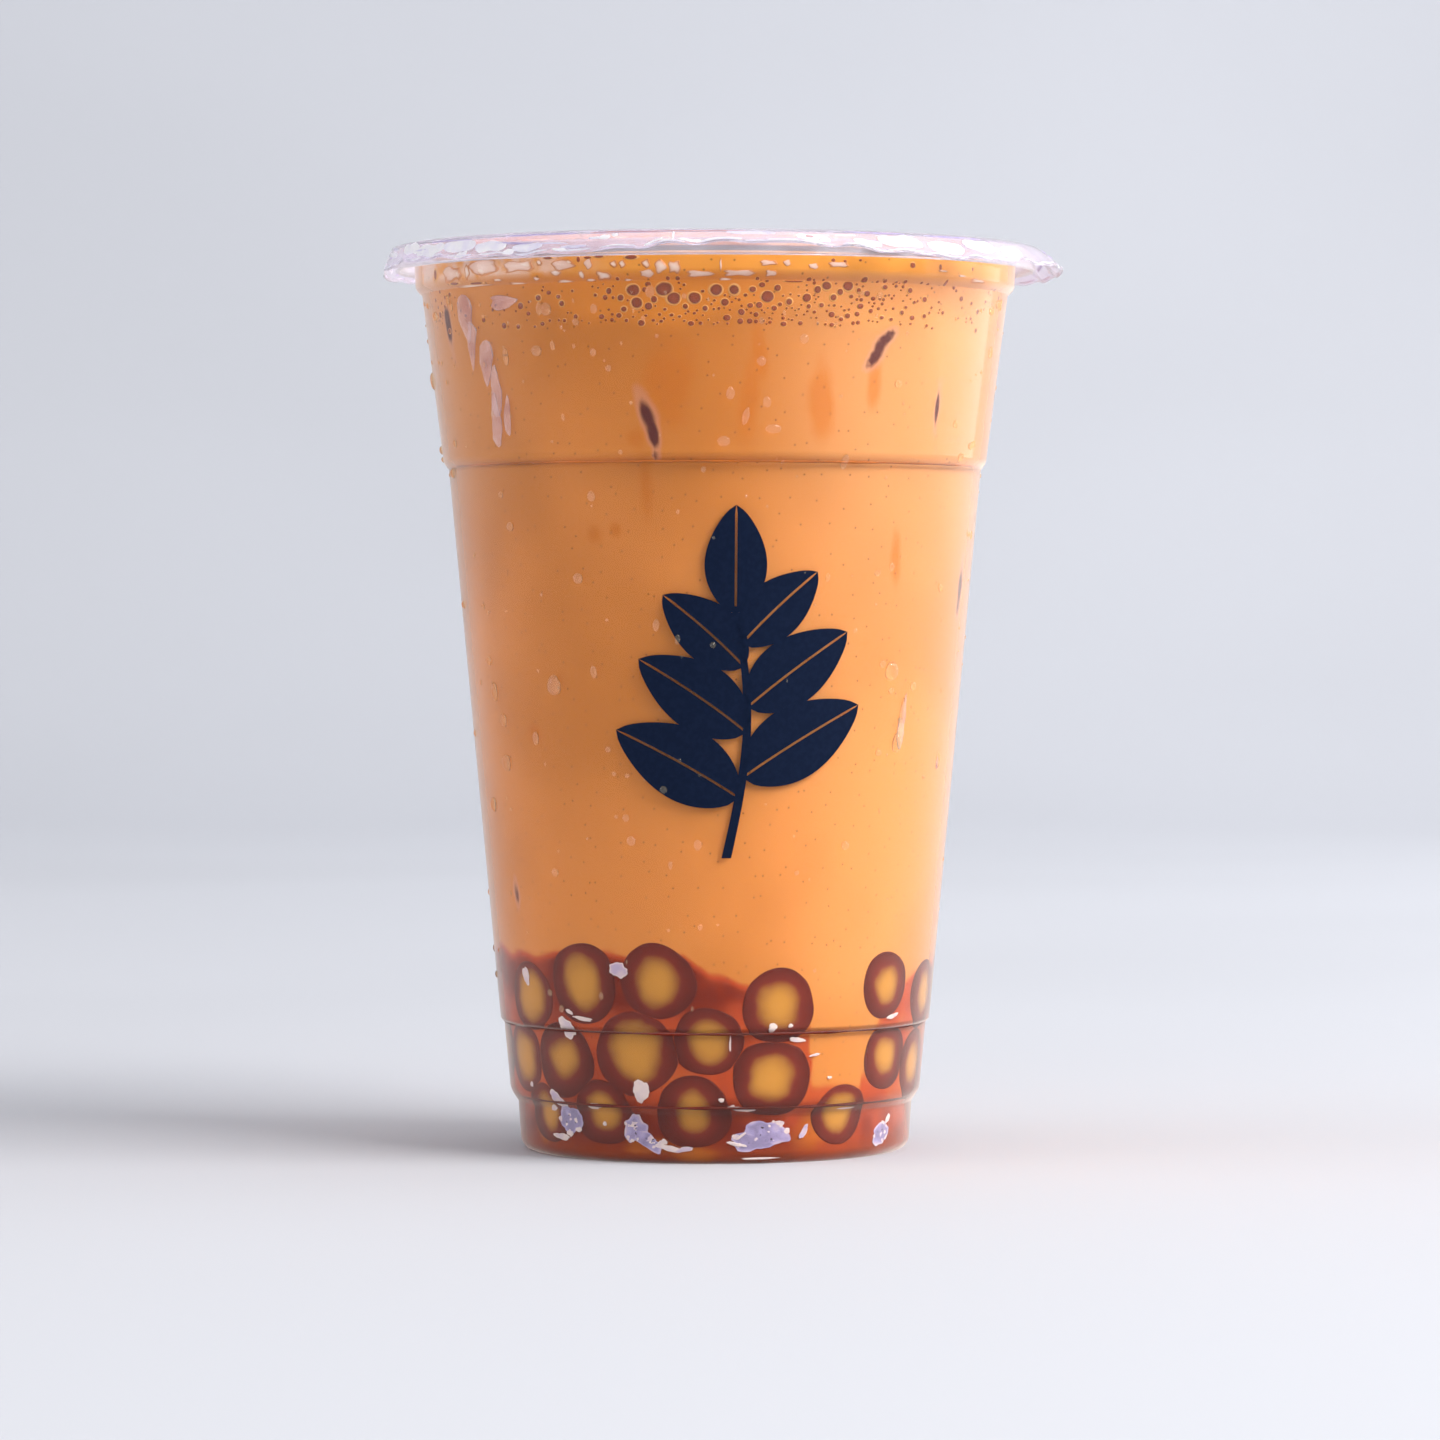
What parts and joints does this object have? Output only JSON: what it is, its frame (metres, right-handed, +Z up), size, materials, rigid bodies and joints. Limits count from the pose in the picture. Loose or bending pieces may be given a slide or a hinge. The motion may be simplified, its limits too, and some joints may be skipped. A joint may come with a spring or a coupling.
{
  "type": "bubble tea",
  "caption": "Milk tea with tapioca pearls in a clear stepped plastic cup, shut with a heat-sealed clear film.",
  "frame": {"origin": "middle of the cup's foot, on the surface that it stands on", "axes": "+Z up along the cup's axis, -Y towards the front, where the printed side of the cup looks"},
  "size_m": [0.1007, 0.1008, 0.1336],
  "materials": {
    "clear_plastic": "clear gloss polypropylene",
    "milk_tea": "opaque milky liquid",
    "tapioca": "translucent, syrup-soaked, wet",
    "clear_film": "clear gloss film",
    "foam": "tea froth, wet bubbles",
    "water": "condensed water",
    "print_ink": "dark blue printing ink on plastic"
  },
  "bodies": {
    "root": {"cup": "clear_plastic", "drink": "milk_tea", "pearls": "tapioca", "seal_film": "clear_film"}
  },
  "joints": []
}
